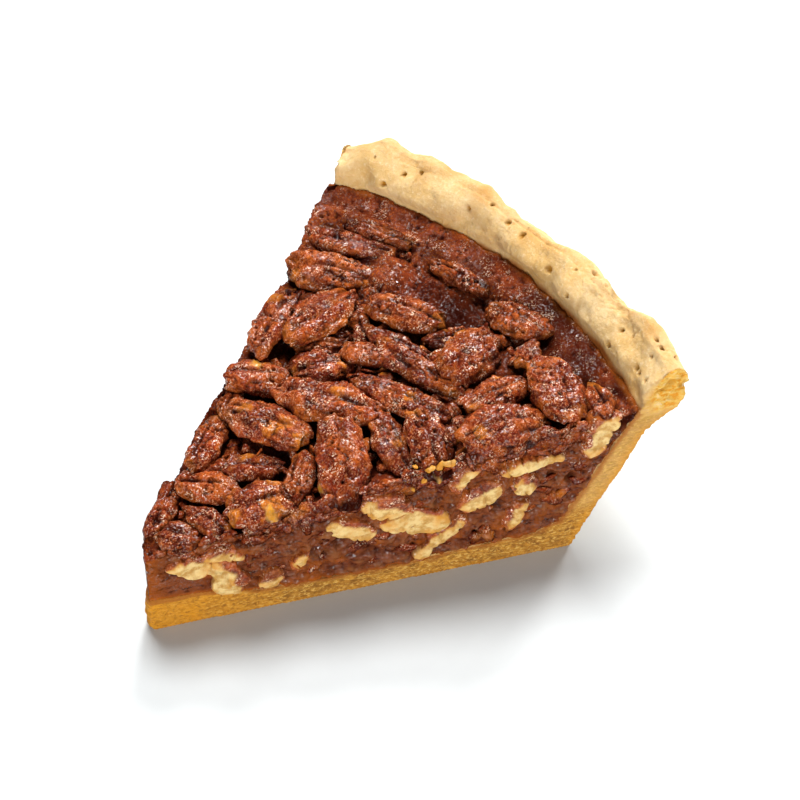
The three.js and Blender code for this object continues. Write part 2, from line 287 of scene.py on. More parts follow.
class Finish:
    """A procedural material whose nodes are made one line at a time."""

    def __init__(self, name):
        self.material = bpy.data.materials.new(name)
        self.material.use_nodes = True
        self.tree = self.material.node_tree
        self.shader = self.tree.nodes["Principled BSDF"]
        self.place = self.tree.nodes.new("ShaderNodeTexCoord").outputs["Object"]

    def node(self, kind, **inputs):
        made = self.tree.nodes.new(kind)
        for key, value in inputs.items():
            self.put(made.inputs[key.replace("_", " ")], value)
        return made

    def put(self, socket, value):
        if isinstance(value, bpy.types.NodeSocket):
            self.tree.links.new(value, socket)
        else:
            socket.default_value = value

    def set(self, **inputs):
        for key, value in inputs.items():
            self.put(self.shader.inputs[key.replace("_", " ")], value)

    def stretched(self, x, y, z):
        """The place with each axis scaled, for noise that is longer or shorter that way."""
        mapping = self.node("ShaderNodeMapping", Vector=self.place, Scale=(x, y, z))
        return mapping.outputs["Vector"]

    def noise(self, size, detail=3.0, roughness=0.55, place=None):
        """Noise whose lumps are size millimetres across."""
        made = self.node("ShaderNodeTexNoise", Vector=place or self.place, Scale=1 / (size * MM),
                         Detail=detail, Roughness=roughness)
        return made.outputs["Fac"]

    def attribute(self, name):
        made = self.tree.nodes.new("ShaderNodeAttribute")
        made.attribute_name = name
        return made.outputs["Fac"]

    def between(self, value, low, high, to_low=0.0, to_high=1.0):
        """Maps low...high to to_low...to_high, and holds it there."""
        made = self.node("ShaderNodeMapRange", Value=value, From_Min=low, From_Max=high,
                         To_Min=to_low, To_Max=to_high)
        return made.outputs["Result"]

    def math(self, operation, first, second):
        made = self.tree.nodes.new("ShaderNodeMath")
        made.operation = operation
        self.put(made.inputs[0], first)
        self.put(made.inputs[1], second)
        return made.outputs[0]

    def times(self, first, second):
        return self.math("MULTIPLY", first, second)

    def mix(self, share, base, colour):
        """The base colour with this share of another. Colours have sockets 6, 7 and 2 of this node."""
        made = self.tree.nodes.new("ShaderNodeMix")
        made.data_type = "RGBA"
        self.put(made.inputs[0], share)
        for socket, value in ((made.inputs[6], base), (made.inputs[7], colour)):
            self.put(socket, value if isinstance(value, bpy.types.NodeSocket) else (*value, 1))
        return made.outputs[2]

    def over(self, base, colour, value, low, high, share=1.0):
        """The base colour, turning into another by this share as the value goes from low to high."""
        return self.mix(self.between(value, low, high, 0.0, share), base, colour)

    def where(self, name, base, colour):
        """The base colour, and another one where the mesh is painted with this name."""
        return self.mix(self.attribute(name), base, colour)

    def dull_in_hollows(self, gloss):
        return self.times(gloss, self.between(self.attribute("hollow_shade"), 0.2, 1.0, 1.0, 0.25))

    def bump(self, height, depth, strength=1.0, under=None):
        """A bump of this depth in millimetres, on top of another one."""
        made = self.node("ShaderNodeBump", Height=height, Distance=depth * MM, Strength=strength)
        if under is not None:
            self.put(made.inputs["Normal"], under)
        return made.outputs["Normal"]


# Base colours are linear red, green and blue. Noise sizes and bump depths are in millimetres.

GLAZE = {"Coat_Roughness": 0.08, "Coat_IOR": 1.6, "Subsurface_Scale": 1.0 * MM}

# The darkest nut colour: dark grain, and painted shade in the hollows of the nuts and the filling.
NUT_DEEP_AND_SHADE = (0.018, 0.0024, 0.0012)
NUT_MAROON = (0.072, 0.0062, 0.0025)
NUT_PINK = (0.54, 0.215, 0.1)
NUT_BROWN = (0.14, 0.0175, 0.006)
NUT_RED = (0.25, 0.0335, 0.0085)
NUT_AMBER = (0.385, 0.088, 0.011)
NUT_ORANGE = (0.46, 0.135, 0.011)
FLESH = (0.38, 0.205, 0.05)
FLESH_PALE = (0.58, 0.41, 0.17)
FLESH_GOLD = (0.47, 0.2, 0.022)
# Pale grains of dried glaze, which also stand in as painted glints.
SUGAR_AND_GLINT = (0.68, 0.46, 0.31)


def sugar_specks_and_glints(finish):
    """Tiny pale grains where the glaze has dried, also standing in as painted glints, some scattered and
    some in clusters.
    """
    specks = finish.between(finish.noise(0.4, 1.5, 0.6), 0.55, 0.61)
    clusters = finish.between(finish.noise(2.8, 3.0, 0.6), 0.53, 0.62, 0.06, 0.9)
    return finish.times(specks, clusters)


def nut_colours(finish, sandy):
    """Baked pecan under syrup, sandy in patches, with pale specks that are partly painted glints and
    painted shade in its hollows, then the pale flesh where a nut is broken or cut.
    """
    middle = finish.noise(1.2, 4.0, 0.65)
    grain = finish.noise(0.8, 3.0, 0.65)
    tone = finish.attribute("tone")
    brown = finish.over(NUT_BROWN, NUT_RED, finish.noise(3.4), 0.36, 0.64)
    brown = finish.over(brown, NUT_AMBER, finish.noise(5.0), 0.5, 0.64, 0.5)
    brown = finish.over(brown, NUT_AMBER, tone, 0.5, 1.0, 0.4)
    brown = finish.over(brown, NUT_MAROON, tone, 0.4, 0.0, 0.4)
    brown = finish.over(brown, NUT_AMBER, middle, 0.54, 0.66, 0.7)
    brown = finish.over(brown, NUT_MAROON, middle, 0.47, 0.36, 0.8)
    brown = finish.over(brown, NUT_MAROON, finish.noise(5.0, 4.0, 0.6), 0.5, 0.4, 0.75)
    brown = finish.over(brown, NUT_AMBER, grain, 0.55, 0.64, 0.5)
    brown = finish.over(brown, NUT_DEEP_AND_SHADE, grain, 0.42, 0.32, 0.7)
    warm = finish.times(finish.attribute("warm"), finish.between(middle, 0.36, 0.56, 0.35, 1.0))
    brown = finish.mix(warm, brown, NUT_ORANGE)
    sand = finish.noise(0.45, 2.0, 0.6)
    patches = finish.between(finish.noise(3.8, 3.0, 0.6), 0.42, 0.6, 0.1 * sandy, sandy)
    brown = finish.over(brown, NUT_MAROON, sand, 0.45, 0.36, 0.35)
    brown = finish.mix(finish.times(finish.between(sand, 0.57, 0.615), patches), brown, NUT_PINK)
    # Pale specks, partly painted glints.
    brown = finish.mix(sugar_specks_and_glints(finish), brown, SUGAR_AND_GLINT)
    # Painted shade in the hollows.
    brown = finish.where("hollow_shade", brown, NUT_DEEP_AND_SHADE)
    flesh = finish.over(FLESH, FLESH_PALE, finish.noise(2.2, 4.0, 0.6), 0.4, 0.56)
    flesh = finish.over(flesh, FLESH_GOLD, finish.noise(4.5, 2.0), 0.54, 0.75)
    flesh = finish.where("gold", flesh, FLESH_GOLD)
    return finish.where("flesh", brown, flesh)


def glazed_nut():
    """A whole half under glaze, which glints in clusters of tiny beads."""
    finish = Finish("glazed_pecan")
    fine = finish.noise(0.34, 2.0, 0.6)
    clusters = finish.between(finish.noise(3.2, 3.0, 0.6), 0.38, 0.62, -0.08, 0.045)
    beaded = finish.math("ADD", finish.noise(0.5, 2.5, 0.6), clusters)
    finish.set(
        Base_Color=nut_colours(finish, sandy=0.7),
        Normal=finish.bump(fine, 0.3),
        Roughness=finish.between(fine, 0.3, 0.7, 0.45, 0.7),
        Specular_IOR_Level=0.0,
        Coat_Weight=finish.dull_in_hollows(finish.between(beaded, 0.51, 0.56)),
        Coat_Normal=finish.bump(finish.noise(0.6, 2.0, 0.6), 0.24),
        Subsurface_Weight=0.1,
        Subsurface_Radius=(1.0, 0.3, 0.08),
        **GLAZE)
    return finish.material


def cut_nut():
    """A nut that the knife went through: satin flesh, and a skin that still has its glaze."""
    finish = Finish("cut_pecan")
    fine = finish.noise(0.5, 3.0, 0.6)
    uneven = finish.bump(finish.noise(1.6, 3.0, 0.6), 0.35, 0.8)
    skin = finish.between(finish.attribute("flesh"), 0.0, 1.0, 1.0, 0.25)
    finish.set(
        Base_Color=nut_colours(finish, sandy=0.0),
        Normal=finish.bump(fine, 0.16, 0.8, uneven),
        Roughness=finish.between(fine, 0.3, 0.7, 0.38, 0.6),
        Specular_IOR_Level=0.1,
        Coat_Weight=finish.times(skin, finish.between(finish.noise(0.6, 3.0, 0.65), 0.51, 0.57)),
        Coat_Normal=finish.bump(finish.noise(1.05, 1.8, 0.55), 0.38),
        Subsurface_Weight=0.2,
        Subsurface_Radius=(1.0, 0.55, 0.25),
        **GLAZE)
    return finish.material


TOP_DARK = (0.04, 0.005, 0.002)
TOP_BROWN = (0.155, 0.023, 0.0065)
TOP_FOAM = (0.185, 0.032, 0.0095)
JELLY_BROWN = (0.105, 0.024, 0.008)
JELLY_MAUVE = (0.15, 0.04, 0.014)
JELLY_ORANGE = (0.28, 0.065, 0.005)
# The lightest jelly is a painted highlight on raised places; the darkest is for dark streaks and painted
# shade.
JELLY_PAINTED_HIGHLIGHT = (0.18, 0.062, 0.021)
JELLY_DARK_AND_SHADE = (0.022, 0.003, 0.0012)


def syrup_top(finish, grain):
    """Foamy, pitted glaze between the nuts, dark in a band along the crust, with pale specks that are
    partly painted glints, and painted shade in its hollows.
    """
    foam = finish.attribute("foam")
    top = finish.over(TOP_DARK, TOP_BROWN, finish.noise(6.0, 3.0), 0.38, 0.62)
    top = finish.mix(foam, top, TOP_FOAM)
    top = finish.over(top, TOP_FOAM, grain, 0.53, 0.66, 0.8)
    top = finish.mix(finish.times(foam, finish.between(grain, 0.5, 0.62, 0.0, 0.8)), top, NUT_AMBER)
    top = finish.over(top, TOP_DARK, finish.noise(1.5, 4.0, 0.65), 0.47, 0.36, 0.8)
    top = finish.where("band", top, TOP_DARK)
    # Pale specks on the foam, partly painted glints.
    top = finish.mix(finish.times(sugar_specks_and_glints(finish), foam), top, SUGAR_AND_GLINT)
    top = finish.where("warm", top, NUT_ORANGE)
    # Painted shade in the hollows.
    return finish.where("hollow_shade", top, NUT_DEEP_AND_SHADE)


def syrup_cut(finish):
    """Set jelly that the knife has pulled into dark and bright streaks, with painted highlights where it
    stands out and painted shade in its hollows.
    """
    streaks = finish.noise(1.3, 4.0, 0.65, finish.stretched(0.6, 0.6, 1.3))
    face = finish.over(JELLY_BROWN, JELLY_MAUVE, finish.noise(5.0), 0.36, 0.64)
    face = finish.over(face, JELLY_DARK_AND_SHADE, streaks, 0.49, 0.34, 0.9)
    face = finish.over(face, JELLY_ORANGE, streaks, 0.57, 0.72, 0.5)
    # Painted highlight where the torn jelly stands out.
    face = finish.where("high", face, JELLY_PAINTED_HIGHLIGHT)
    face = finish.where("warm", face, JELLY_ORANGE)
    # Painted shade in the hollows.
    return finish.where("hollow_shade", face, JELLY_DARK_AND_SHADE)


def syrup():
    finish = Finish("syrup_filling")
    grain = finish.noise(0.6, 2.0, 0.6)
    gloss = finish.between(finish.noise(0.5, 3.0, 0.65), 0.515, 0.56)
    gloss = finish.dull_in_hollows(finish.times(gloss, finish.attribute("wet")))
    gloss = finish.times(gloss, finish.between(finish.noise(4.0, 2.0), 0.42, 0.56, 0.3, 1.0))
    finish.set(
        Base_Color=finish.where("cut", syrup_top(finish, grain), syrup_cut(finish)),
        Normal=finish.bump(finish.noise(0.4, 2.0, 0.6), 0.2, 0.7),
        Roughness=finish.between(grain, 0.3, 0.7, 0.4, 0.65),
        Specular_IOR_Level=0.0,
        Coat_Weight=gloss,
        Coat_Normal=finish.bump(finish.noise(0.85, 1.8, 0.55), 0.5),
        Subsurface_Weight=0.1,
        Subsurface_Radius=(1.0, 0.28, 0.07),
        **GLAZE)
    return finish.material


PASTRY_FLOUR = (0.72, 0.55, 0.32)
PASTRY_PALE = (0.675, 0.49, 0.25)
PASTRY_GOLD = (0.595, 0.375, 0.138)
PASTRY_HOLLOW_SHADE = (0.4, 0.18, 0.016)
PASTRY_TOAST = (0.42, 0.2, 0.048)
CRUMB_DARK = (0.17, 0.068, 0.0105)
CRUMB_TAN = (0.325, 0.138, 0.018)
CRUMB_GOLD = (0.44, 0.205, 0.026)
CRUMB_PALE = (0.54, 0.32, 0.075)
CRUMB_BRIGHT = (0.52, 0.21, 0.007)
WALL_PALE = (0.5, 0.3, 0.108)
END_PALE = (0.66, 0.41, 0.095)
END_GOLD = (0.62, 0.31, 0.034)
END_DEEP = (0.6, 0.225, 0.01)
CARAMEL = (0.25, 0.07, 0.009)


def pastry_skin(finish, broad, mottle, fine):
    """The baked outside: floury, golden in patches, and toasted where the mesh says so."""
    skin = finish.over(PASTRY_PALE, PASTRY_GOLD, broad, 0.36, 0.66)
    skin = finish.over(skin, PASTRY_GOLD, finish.noise(2.4, 4.0, 0.6), 0.52, 0.74, 0.55)
    skin = finish.over(skin, PASTRY_GOLD, mottle, 0.46, 0.34, 0.7)
    skin = finish.over(skin, PASTRY_FLOUR, mottle, 0.53, 0.66, 0.7)
    skin = finish.over(skin, PASTRY_TOAST, fine, 0.6, 0.75, 0.4)
    return finish.where("toast", skin, PASTRY_TOAST)


def pastry_crumb(finish, broad, layers, flakes):
    """The cut: a tan base full of dark and pale flecks, a paler wall, and the rim's torn flaky end."""
    flecks = finish.noise(0.6, 3.0, 0.65, finish.stretched(0.65, 0.65, 1.2))
    crumb = finish.over(CRUMB_TAN, CRUMB_GOLD, layers, 0.45, 0.56)
    crumb = finish.over(crumb, CRUMB_DARK, broad, 0.5, 0.36, 0.35)
    crumb = finish.over(crumb, CRUMB_DARK, layers, 0.46, 0.37, 0.9)
    crumb = finish.over(crumb, CRUMB_DARK, flecks, 0.46, 0.37, 0.75)
    crumb = finish.over(crumb, CRUMB_PALE, flecks, 0.54, 0.61, 0.9)
    crumb = finish.where("wall", crumb, finish.over(CRUMB_PALE, WALL_PALE, layers, 0.42, 0.56))
    bright = finish.times(finish.attribute("bright"), finish.between(flecks, 0.38, 0.52, 0.35, 0.85))
    crumb = finish.mix(bright, crumb, CRUMB_BRIGHT)
    end = finish.over(END_GOLD, END_PALE, flakes, 0.42, 0.57)
    end = finish.over(end, END_DEEP, flakes, 0.46, 0.4, 0.8)
    end = finish.over(end, PASTRY_FLOUR, flakes, 0.58, 0.64, 0.45)
    return finish.where("end", crumb, end)


def pastry():
    finish = Finish("baked_pastry")
    broad = finish.noise(9.0)
    mottle = finish.noise(0.9, 4.0, 0.7)
    fine = finish.noise(0.5, 3.0, 0.65)
    layers = finish.noise(1.2, 5.0, 0.7, finish.stretched(0.5, 0.5, 1.4))
    flakes = finish.noise(1.3, 3.0, 0.6, finish.stretched(0.8, 0.8, 1.3))
    skin = pastry_skin(finish, broad, mottle, fine)
    colour = finish.where("cut", skin, pastry_crumb(finish, broad, layers, flakes))
    colour = finish.where("syrup", colour, CARAMEL)
    # Painted shade in the prick holes, creases, dents and flake hollows.
    colour = finish.where("hollow_shade", colour, PASTRY_HOLLOW_SHADE)
    normal = finish.bump(layers, 0.5, 0.6)
    normal = finish.bump(mottle, 0.4, 0.9, normal)
    normal = finish.bump(fine, 0.14, 0.6, normal)
    normal = finish.bump(finish.times(flakes, finish.attribute("end")), 1.1, 1.0, normal)
    finish.set(
        Base_Color=colour,
        Normal=normal,
        Roughness=finish.between(fine, 0.3, 0.7, 0.62, 0.8),
        Specular_IOR_Level=0.15,
        Subsurface_Weight=0.18,
        Subsurface_Radius=(1.0, 0.62, 0.3),
        Subsurface_Scale=1.6 * MM)
    return finish.material


FLOOR_DARK = (0.53, 0.55, 0.555)
FLOOR_LIGHT = (0.55, 0.57, 0.575)


def tabletop():
    finish = Finish("pale_floor")
    finish.set(
        Base_Color=finish.mix(finish.noise(4.0, 2.0), FLOOR_DARK, FLOOR_LIGHT),
        Roughness=0.9,
        Specular_IOR_Level=0.1)
    return finish.material


# -------- the crust


def beside_front(points):
    """How far outside of the front cut's plane each point lies."""
    return points @ FRONT_OUT


def beside_back(points, bulge=True):
    """How far outside of the back cut each point lies, with or without the filling's bulges."""
    from_tip = points[:, :2] - BLUNT_TIP
    out = from_tip @ BACK_OUT[:2]
    if bulge:
        out = out - np.interp(from_tip @ BACK_CUT, BULGE_ALONG, BULGE_OUT)
    return out


def radius_and_height(points):
    return np.hypot(points[:, 0], points[:, 1]), points[:, 2]


def crust_cut(points):
    """From 0 inside the crust to 1 on its two cuts."""
    front, back = beside_front(points), beside_back(points, bulge=False)
    return np.maximum(step(-0.5, -0.1, front), step(-0.5, -0.1, back))


def crust_hidden(points):
    """True where the crust lies against the filling or the table."""
    radius, height = radius_and_height(points)
    inside = np.abs(height - np.interp(radius, WALL_RADII, WALL_HEIGHTS)) < 1.5
    inside &= (radius < WALL_RADII[-1] + 0.3) & (height < RIM_HEIGHT)
    return (inside | (height < 0.3)) & (crust_cut(points) < 0.1)


def inner_side(radius, height):
    """True on the side of the rim that faces the filling."""
    return radius < np.interp(height, [40, 51, 54], [106.5, 110.0, 111.0])


def crust_zones(points):
    """From 0 to 1: the crust's sides, and the marks on them. The blunt tip counts as cut."""
    radius, height = radius_and_height(points)
    cut = np.maximum(crust_cut(points), step(6.0, 5.0, radius))
    rim = step(42.0, 44.5, height) * (1 - cut)
    around = np.stack([np.arctan2(points[:, 1], points[:, 0]) * 108, radius - 104, height], axis=1)
    creases = lines(noise(around * [1, 0.3, 0.3], 3.0, 41), 0.07)
    holes = np.maximum(pits(points, 4.6, 0.6, 0.85, 31), pits(points, 3.0, 0.4, 0.62, 35))
    return SimpleNamespace(
        radius=radius, height=height, cut=cut, rim=rim,
        outer=step(0.3, 2.0, height) * (1 - cut) * (1 - rim),
        end=cut * step(43, 46, height),
        holes=step(0.05, 0.5, holes),
        creases=creases * step(-0.1, 0.4, noise(points, 5.0, 42)),
        dents=step(0.1, 0.8, noise(points, 5.5, 26)),
        flakes=rough(points * [1, 1, 1.4], 2.2, 61))


def crust_relief(points, zone):
    """How far the surface stands out from the solid: waves and prick holes above, crumb in the cuts."""
    slope = np.clip(np.sin(np.pi * (zone.height - RIM_HEIGHT) / 9.5), 0, 1)
    slope *= inner_side(zone.radius, zone.height)
    waves = 1.2 * noise(points, 8.0, 21) + 0.9 * noise(points, 3.8, 22) + 0.3 * rough(points, 1.8, 23)
    relief = zone.rim * (waves + 1.7 * slope - 1.0 * zone.dents - 1.3 * zone.holes - 0.45 * zone.creases)
    relief += zone.outer * (0.35 * noise(points, 5.0, 24) + 0.22 * rough(points, 1.8, 25))
    crumb = 0.7 * rough(points * [0.5, 0.5, 1.7], 2.0, 51) - 0.6 * pits(points, 2.6, 0.35, 0.7, 71)
    relief += zone.cut * (1 - zone.end) * crumb * (1 - 0.6 * step(8, 12, zone.height))
    relief += zone.end * (np.where(beside_front(points) > -2, 1.1, 0.5) * zone.flakes - 0.3)
    return relief * step(0.0, 0.8, zone.height)


def paint_crust(form, zone):
    points, radius, height, cut = form.points, zone.radius, zone.height, zone.cut
    outer_edge = 1 - step(0.0, 3.2, np.interp(height, OUTER_HEIGHTS, OUTER_RADII) - radius)
    low_edge = 1 - step(0.2, 1.6, height + 0.5 * noise(points, 3.0, 81))
    tip = (1 - step(6, 34, radius)) * (0.75 + 0.4 * noise(points, 4.0, 82))
    bright = cut * (tip + 0.75 * outer_edge + 0.4 * low_edge) + zone.end * (0.35 + 0.4 * zone.flakes)

    # Syrup has run up the rim's foot, and into the cut where the filling meets the floor and wall.
    above = height - RIM_HEIGHT - 0.7 * noise(points, 5.0, 91) + 1.5 * step(0, 30, points[:, 1])
    inside = inner_side(radius, height) & (height > RIM_HEIGHT - 3) & (cut < 0.5)
    line = np.where(inside, 1 - step(0.2, 1.7, above), 0.0)
    under = np.interp(radius, WALL_RADII, WALL_HEIGHTS) - height - 0.9 * rough(points, 3.5, 93)
    floor_seam = (1 - step(0.3, 1.4, under)) * (radius < WALL_RADII[-1] + 0.2)
    wall_radius = np.interp(height, WALL_HEIGHTS[WALL_FOOT:], WALL_RADII[WALL_FOOT:])
    beyond = radius - wall_radius + 0.9 * rough(points, 3.5, 94)
    wall_seam = (1 - step(0.6, 2.0, beyond)) * (height > 9) * (height < 41)
    seam = cut * np.maximum(floor_seam, wall_seam)

    torn_end = step(106.5, 109.5, radius + 1.5 * noise(points, 3.0, 96)) * step(40, 43, height)
    wall = step(9, 17, height + 2 * noise(points, 5.0, 95)) + step(38, 42, height)
    crest = zone.rim * step(0.55, 0.9, form.normals()[:, 2])
    toast = 0.35 * zone.outer + 0.3 * crest + 0.35 * zone.rim * step(0.1, 0.8, noise(points, 5.0, 92))
    # Painted shade: darker in the rim's prick holes, creases and dents, and in the hollows of the torn
    # end's flakes.
    shade = zone.rim * (zone.holes + 0.15 * zone.creases + 0.12 * zone.dents)
    shade += 0.8 * zone.end * step(0.0, 0.4, -zone.flakes)
    form.paint = {
        "cut": cut,
        "end": cut * torn_end,
        "wall": 0.45 * cut * wall,
        "bright": np.clip(bright, 0, 1),
        "toast": np.clip(toast, 0, 1),
        "syrup": np.clip(line + 0.75 * seam, 0, 1),
        "hollow_shade": np.clip(shade, 0, 1)}


def crust():
    form = Form.of_node("pastry_shell").remeshed(CRUST_VOXEL)
    form.smooth(2)
    form = form.thinned(crust_hidden(form.points))
    zone = crust_zones(form.points)
    paint_crust(form, zone)
    # The rim's far end is rounded: a crest a little way in, and a drop to the back cut.
    from_back = beside_back(form.points, bulge=False)
    lift = 0.9 * np.exp(-((from_back + 8.5) / 3.0) ** 2) - 2.4 * step(-6, 0, from_back)
    form.points = form.points + form.normals() * crust_relief(form.points, zone)[:, None]
    form.points[:, 2] += step(45, 51, zone.height) * lift
    form.points[:, 2] = np.maximum(form.points[:, 2], 0.02)
    return form


# -------- the nuts

CUT_NUT_SPREAD = 0.24  # how much further than its solid a cut nut's face reaches, as a share


class Nut:
    """A nut's own axes and half sizes, worked out from the points of its rounded solid."""

    def __init__(self, node, form, upward):
        self.node = node
        self.form = form
        self.middle = form.points.mean(axis=0)
        spread = form.points - self.middle
        up = np.array(upward)
        flat = spread - np.outer(spread @ up, up)
        _, vectors = np.linalg.eigh(flat.T @ flat)
        self.along = vectors[:, 2]
        self.up = up
        self.across = np.cross(self.up, self.along)
        axes = np.stack([self.along, self.across, self.up])
        self.half = np.abs(spread @ axes.T).max(axis=0)

    def own(self, points):
        """Places along, across and up the nut, in millimetres from its middle."""
        return (points - self.middle) @ np.stack([self.along, self.across, self.up]).T

    def local(self, points):
        """Places along, across and up the nut, from -1 to 1 inside it."""
        return self.own(points) / self.half

    def gap(self, points):
        """About how far beside the nut the points lie, in millimetres."""
        s, t, _ = self.local(points).T
        return (np.hypot(s, t) - 1) * self.half[1]


def spotted(points, spots):
    """From 0 to 1 in ragged spots, each given by its place and its radius."""
    total = np.zeros(len(points))
    ragged = 0.45 * noise(points, 1.3, 211) + 0.25 * noise(points, 0.6, 212)
    for x, y, radius in spots:
        far = np.hypot(points[:, 0] - x, points[:, 1] - y) / radius
        total = np.maximum(total, 1 - step(0.55, 1.0, far + ragged))
    return total


def fine_nuts(start, voxel, upward):
    """The solid nuts whose names start so, rounded off and in small even faces."""
    nuts = []
    for node in sorted(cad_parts):
        if node.startswith(start):
            form = Form.of_node(node).remeshed(ROUNDING_VOXEL)
            form.smooth(2)
            form = form.remeshed(voxel)
            form.smooth(3)
            nuts.append(Nut(node, form, upward))
    return nuts


def glazed_surface(nut, seed):
    """Furrows, lumps, grain, pits and ragged ends of a glazed half, and the paint that follows them, with
    painted shade in its hollows and on its low flanks.
    """
    form = nut.form
    points = form.points
    normals = form.normals()
    s, t, _ = nut.local(points).T
    facing = np.clip(normals @ nut.up, 0, 1)
    lengthways = nut.own(points) * [0.42, 1.0, 1.0]
    warp = 0.2 * noise(points, 4.5, seed)
    furrow = np.exp(-(((t + warp) / 0.13) ** 2)) * facing * (1 - step(0.75, 1.0, np.abs(s)))
    furrow *= 0.6 + 0.4 * noise(points, 4.0, seed + 3)
    wrinkles = ridges(noise(lengthways, 1.5, seed + 15))
    strands = noise(lengthways, 2.4, seed + 16)
    wide = min(nut.half[1] / 5.0, 1.0)
    grain, _ = scatter(points, 0.8, seed + 5)
    creases = lines(rough(points, 3.4, seed + 17, 2), 0.07) * facing
    holes = np.maximum(pits(points, 2.6, 0.45, 0.6, seed + 9), pits(points, 1.4, 0.22, 0.36, seed + 14))
    holes *= facing
    ragged = step(0.5, 0.95, np.abs(s))
    jag = ragged * (1.0 * noise(points, 1.9, seed + 20) + 0.7 * noise(points, 1.0, seed + 21)) * np.sign(s)
    skew = step(0.5, 0.95, np.abs(t)) * 0.7 * noise(points, 1.6, seed + 22) * np.sign(t)
    move = 0.15 + 0.4 * noise(points, 4.6, seed + 1) * wide + 0.35 * strands + 0.3 * wrinkles
    move += 0.16 * (0.5 - grain) + 0.12 * noise(points, 0.65, seed + 4)
    move -= 1.0 * furrow * wide + 0.9 * holes + 0.4 * creases
    shift = jag[:, None] * nut.along + skew[:, None] * nut.across
    form.points = points + normals * move[:, None] + shift
    rise = points[:, 2] - filling_top(np.hypot(points[:, 0], points[:, 1]))
    low = 1 - step(-0.3, 3.2, rise + 0.9 * noise(points, 2.0, seed + 23))
    # Painted shade: darker in the pits, furrow, creases, wrinkle lows and grain hollows, and on the flanks
    # low by the filling.
    dark = 0.9 * holes + 0.55 * furrow + 0.7 * creases + 0.95 * low + 0.7 * step(0.0, 0.8, -wrinkles)
    dark += 0.25 * step(0.6, 0.95, grain)
    form.paint["hollow_shade"] = np.clip(dark, 0, 1)
    thin = ragged * step(0.1, 0.7, noise(points, 2.6, seed + 7))
    edge = step(0.7, 0.95, np.hypot(s, t)) * step(0.1, 0.5, noise(points, 3.0, seed + 8))
    edge *= step(0.8, 2.2, rise)
    form.paint["warm"] = np.clip(0.5 * thin + 0.25 * edge + 0.8 * spotted(points, ORANGE_SPOTS), 0, 1)
    form.paint["flesh"] = form.paint["gold"] = spotted(points, YELLOW_SPOTS)
    form.paint["tone"] = np.full(len(points), float(lattice(np.array([seed, 1, 1]), 3)))


def cut_surface(nut, seed):
    """A nut that the knife went through: a pale scalloped face, a fold, and brown skin round it."""
    form = nut.form
    points = form.points
    normals = form.normals()
    s, t, _ = nut.local(points).T
    side = np.sign(nut.across[2] + 1e-6)  # 1 where across points up, and -1 where it points down
    upward = side * t
    folded = float(lattice(np.array([seed, 2, 1]), 3))
    face = step(0.45, 0.8, normals @ nut.up)
    edge = -nut.gap(points)
    notch = lines(noise(nut.own(points) * [1, 0.2, 0.2], 2.6, seed + 9), 0.22)
    crack = lines(noise(points, 4.5, seed + 4), 0.06) * face
    across = 0.9 * noise(points, 3.0, seed + 1) + 0.4 * noise(points, 1.3, seed + 2)
    across -= 1.1 * np.sign(t) * notch * step(0.2, 0.9, np.abs(t))
    across += CUT_NUT_SPREAD * t * nut.half[1]
    across += side * (0.6 + 1.8 * folded) * step(0.1, 0.8, upward) * (1 - 0.6 * s * s)
    lengthways = 0.9 * noise(points, 3.0, seed + 3) + CUT_NUT_SPREAD * s * nut.half[0]
    lift = 0.9 + 0.7 * noise(points, 3.2, seed + 5) + 0.12 * noise(points, 1.2, seed + 6) - 0.6 * crack
    form.points = points + across[:, None] * nut.across + lengthways[:, None] * nut.along
    form.points += (face * lift + (1 - face) * 0.25)[:, None] * nut.up
    skin = edge + 0.4 * noise(points, 1.4, seed + 7)
    cover = step(0.15, 0.27, upward - 0.5 + 0.5 * folded + 0.2 * noise(points, 1.6, seed + 8))
    rind = face * (1 - step(0.3, 1.0, skin))
    form.paint["flesh"] = face * step(0.2, 0.4, skin) * (1 - cover)
    # Painted shade in the cracks.
    form.paint["hollow_shade"] = 0.7 * crack
    form.paint["warm"] = np.clip(0.3 * (1 - step(0.0, 0.9, skin)) + 0.1 * cover, 0, 1)
    form.paint["gold"] = np.clip(0.6 * rind + 2.0 * cover * (1 - cover), 0, 1)
    form.paint["tone"] = np.full(len(points), 0.5)


# -------- the filling


def filling_top(radius):
    """How high the smooth top of the filling stands."""
    return TIP_HEIGHT + (RIM_HEIGHT - TIP_HEIGHT) * (radius / FILLING_RADIUS) ** BOWL_POWER


